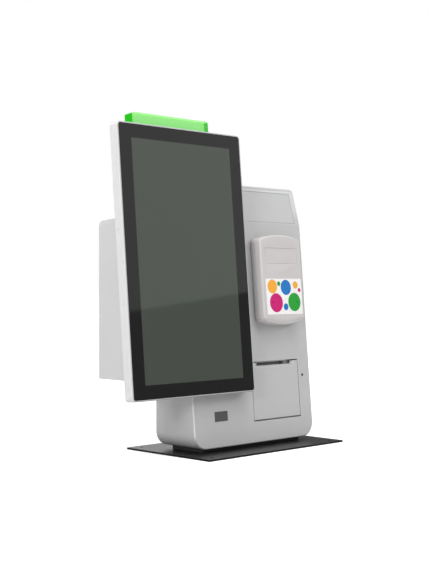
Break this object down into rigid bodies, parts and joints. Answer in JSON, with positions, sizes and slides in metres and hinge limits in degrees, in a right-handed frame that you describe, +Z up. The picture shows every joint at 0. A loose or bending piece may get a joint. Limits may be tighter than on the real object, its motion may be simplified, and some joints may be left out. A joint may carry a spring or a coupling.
{
  "type": "self-service kiosk",
  "caption": "Counter-top self-service kiosk with portrait touch display, light bar, card reader, code scanner and receipt printer behind a drop-down door.",
  "frame": {"origin": "centre of the base plate's underside, in the middle of its four mounting holes", "axes": "+X to the viewer's right, +Y to the back, +Z up; the display faces -Y"},
  "size_m": [0.5705, 0.248, 0.6844],
  "materials": {
    "base_black": "gloss black powder coat",
    "plinth_black": "matt black",
    "tower_grey": "satin light grey",
    "panel_grey": "painted light grey",
    "sign_grey": "satin light grey",
    "side_grey": "satin pale grey",
    "frame_white": "satin white",
    "black_glass": "gloss, black printed border",
    "panel_metal": "satin",
    "cover_sheet": "painted pale grey",
    "light_green": "translucent green",
    "bracket_black": "satin black",
    "sheet_steel": "zinc plated",
    "screw_steel": "zinc plated",
    "reader_shell": "satin warm off-white",
    "reader_window": "satin warm grey",
    "reader_label": "printed film",
    "board_green": "satin",
    "board_white": "satin",
    "pin_steel": "ground",
    "lock_metal": "black oxide",
    "core_card": "card",
    "paper_white": "paper",
    "platen_rubber": "matt",
    "gear_nylon": "satin",
    "pinion_brass": "turned",
    "motor_can": "satin",
    "head_metal": "anodised",
    "scan_glass": "tinted gloss",
    "module_black": "matt",
    "switch_black": "satin",
    "supply_sheet": "perforated sheet",
    "sink_metal": "anodised"
  },
  "bodies": {
    "cabinet": {"base_plate": "base_black", "base_screws": "screw_steel", "plinth": "plinth_black", "body_shell": "tower_grey", "floor_screws": "screw_steel", "rear_panel": "panel_grey", "rear_panel_screws": "screw_steel", "sign_panel": "sign_grey", "side_housing": "side_grey", "side_screws": "screw_steel", "display_bracket": "bracket_black", "bracket_screws": "screw_steel", "vesa_screws": "screw_steel", "display_frame": "frame_white", "touch_glass": "black_glass", "lcd_panel": "panel_metal", "display_rear_cover": "cover_sheet", "display_board": "board_green", "light_bar_bracket": "sheet_steel", "light_bar_base": "cover_sheet", "light_bar_cover": "light_green", "light_bar_board": "board_white", "light_bar_screws": "screw_steel", "reader_back": "reader_shell", "reader_front": "reader_shell", "reader_window": "reader_window", "reader_label": "reader_label", "reader_board": "board_green", "reader_screws": "screw_steel", "lock_barrel": "lock_metal", "printer_frame": "sheet_steel", "roll_rod": "pin_steel", "idler_pin": "pin_steel", "stepper_motor": "motor_can", "print_head": "head_metal", "cutter_housing": "head_metal", "scanner_window": "scan_glass", "scanner_module": "module_black", "scanner_bracket": "sheet_steel", "power_supply": "supply_sheet", "power_inlet": "module_black", "main_board": "board_green", "heat_sink": "sink_metal", "io_block": "supply_sheet", "fan_frame": "module_black"},
    "door": {"printer_door": "tower_grey", "door_hinge_pins": "pin_steel"},
    "lock": {"lock_spindle": "lock_metal"},
    "roll": {"paper_roll": "paper_white", "roll_core": "core_card"},
    "platen": {"platen_shaft": "pin_steel", "platen_roller": "platen_rubber", "platen_gear": "gear_nylon"},
    "idler": {"idler_gear": "gear_nylon"},
    "pinion": {"motor_pinion": "pinion_brass"},
    "blade": {"cutter_blade": "pin_steel"},
    "fan": {"fan_rotor": "module_black"},
    "rocker": {"power_switch": "switch_black"}
  },
  "joints": [
    {"name": "door_hinge", "type": "hinge", "parent": "cabinet", "child": "door", "pos_m": [0.0685, -0.05275, 0.06045], "axis": [1, 0, 0], "range_deg": [0, 85]},
    {"name": "lock_turn", "type": "hinge", "parent": "cabinet", "child": "lock", "pos_m": [0.1566, -0.04826, 0.14619], "axis": [0, -0.9962, 0.0872], "range_deg": [0, 90]},
    {"name": "roll_spin", "type": "hinge", "parent": "cabinet", "child": "roll", "pos_m": [0.0685, 0.00743, 0.10805], "axis": [1, 0, 0], "continuous": true},
    {"name": "platen_spin", "type": "hinge", "parent": "cabinet", "child": "platen", "pos_m": [0.0685, -0.01514, 0.16912], "axis": [1, 0, 0], "continuous": true},
    {"name": "idler_spin", "type": "hinge", "parent": "cabinet", "child": "idler", "pos_m": [0.0685, 0.00403, 0.15468], "axis": [1, 0, 0], "continuous": true},
    {"name": "pinion_spin", "type": "hinge", "parent": "cabinet", "child": "pinion", "pos_m": [0.0685, 0.01786, 0.16912], "axis": [1, 0, 0], "continuous": true},
    {"name": "blade_slide", "type": "slide", "parent": "cabinet", "child": "blade", "axis": [0, 0, -1], "range_m": [0, 0.008]},
    {"name": "fan_spin", "type": "hinge", "parent": "cabinet", "child": "fan", "pos_m": [-0.257, 0.0495, 0.427], "axis": [0, 1, 0], "continuous": true},
    {"name": "rocker_tip", "type": "hinge", "parent": "cabinet", "child": "rocker", "pos_m": [-0.025, 0.056, 0.07], "axis": [1, 0, 0], "range_deg": [0, 16]}
  ],
  "couplings": [
    {"joint": "idler_spin", "follows": "platen_spin", "ratio": -0.84615},
    {"joint": "pinion_spin", "follows": "platen_spin", "ratio": 1.5714}
  ]
}
